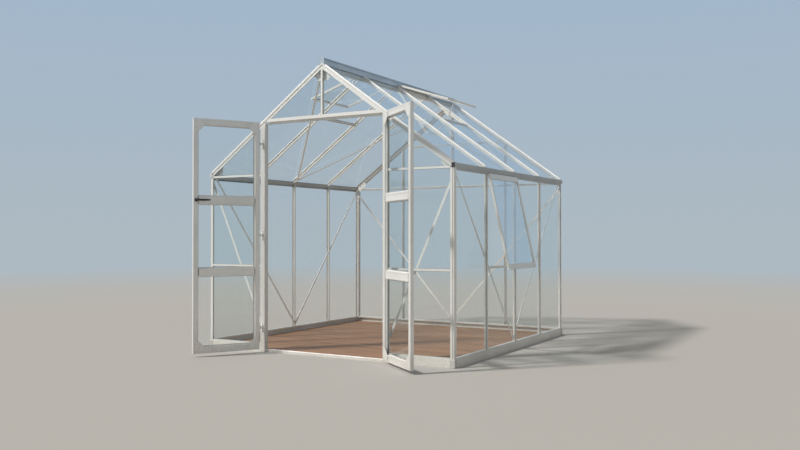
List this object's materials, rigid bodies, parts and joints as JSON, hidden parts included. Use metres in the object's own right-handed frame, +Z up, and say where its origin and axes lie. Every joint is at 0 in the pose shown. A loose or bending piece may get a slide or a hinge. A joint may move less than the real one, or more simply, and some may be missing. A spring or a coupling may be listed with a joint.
{
  "type": "glass greenhouse",
  "caption": "Walk-in garden greenhouse with an aluminium frame, glass walls and pitched glass roof, double hinged doors, roof vents and a timber floor.",
  "frame": {"origin": "centre of the plan, on the underside of the floor and base rails", "axes": "+X to the right seen from the front, +Y from the door wall to the back wall, +Z up"},
  "size_m": [2.774, 3.1648, 2.602],
  "materials": {
    "mill_aluminium": "satin",
    "hinge_metal": "satin",
    "clear_glass": "clear",
    "timber": "oiled boards",
    "black_plastic": "matt"
  },
  "bodies": {
    "greenhouse_frame": {"back_glass": "clear_glass", "back_rafters": "mill_aluminium", "back_wall_bars": "mill_aluminium", "back_wall_rails": "mill_aluminium", "base_corner_brackets": "mill_aluminium", "base_rails": "mill_aluminium", "corner_posts": "mill_aluminium", "door_header": "mill_aluminium", "door_post_hinges": "hinge_metal", "door_posts": "mill_aluminium", "door_threshold": "mill_aluminium", "eave_gutters": "mill_aluminium", "front_glass": "clear_glass", "front_king_post": "mill_aluminium", "front_rafters": "mill_aluminium", "front_wall_rails": "mill_aluminium", "gutter_end_caps": "black_plastic", "joint_plates": "mill_aluminium", "left_roof_bars": "mill_aluminium", "left_roof_glass": "clear_glass", "left_wall_glass": "clear_glass", "ridge_beam": "mill_aluminium", "ridge_cap": "mill_aluminium", "right_roof_bars": "mill_aluminium", "right_roof_glass": "clear_glass", "right_wall_glass": "clear_glass", "roof_braces": "mill_aluminium", "roof_vent_frames": "mill_aluminium", "roof_vent_glass": "clear_glass", "sash_sills": "mill_aluminium", "sash_stays": "mill_aluminium", "side_wall_bars": "mill_aluminium", "side_window_frame": "mill_aluminium", "side_window_glass": "clear_glass", "timber_floor": "timber", "wall_braces": "mill_aluminium"},
    "left_door": {"left_door_corner_plates": "mill_aluminium", "left_door_frame": "mill_aluminium", "left_door_glass": "clear_glass", "left_door_handle": "black_plastic", "left_door_hinge_leaves": "hinge_metal"},
    "right_door": {"right_door_corner_plates": "mill_aluminium", "right_door_frame": "mill_aluminium", "right_door_glass": "clear_glass", "right_door_hinge_leaves": "hinge_metal"}
  },
  "joints": [
    {"name": "left_door_hinge", "type": "hinge", "parent": "greenhouse_frame", "child": "left_door", "pos_m": [-0.65, -1.291, 1.055], "axis": [0, 0, -1], "range_deg": [-119, 46]},
    {"name": "right_door_hinge", "type": "hinge", "parent": "greenhouse_frame", "child": "right_door", "pos_m": [0.65, -1.291, 1.055], "axis": [0, 0, 1], "range_deg": [-141, 24]}
  ]
}
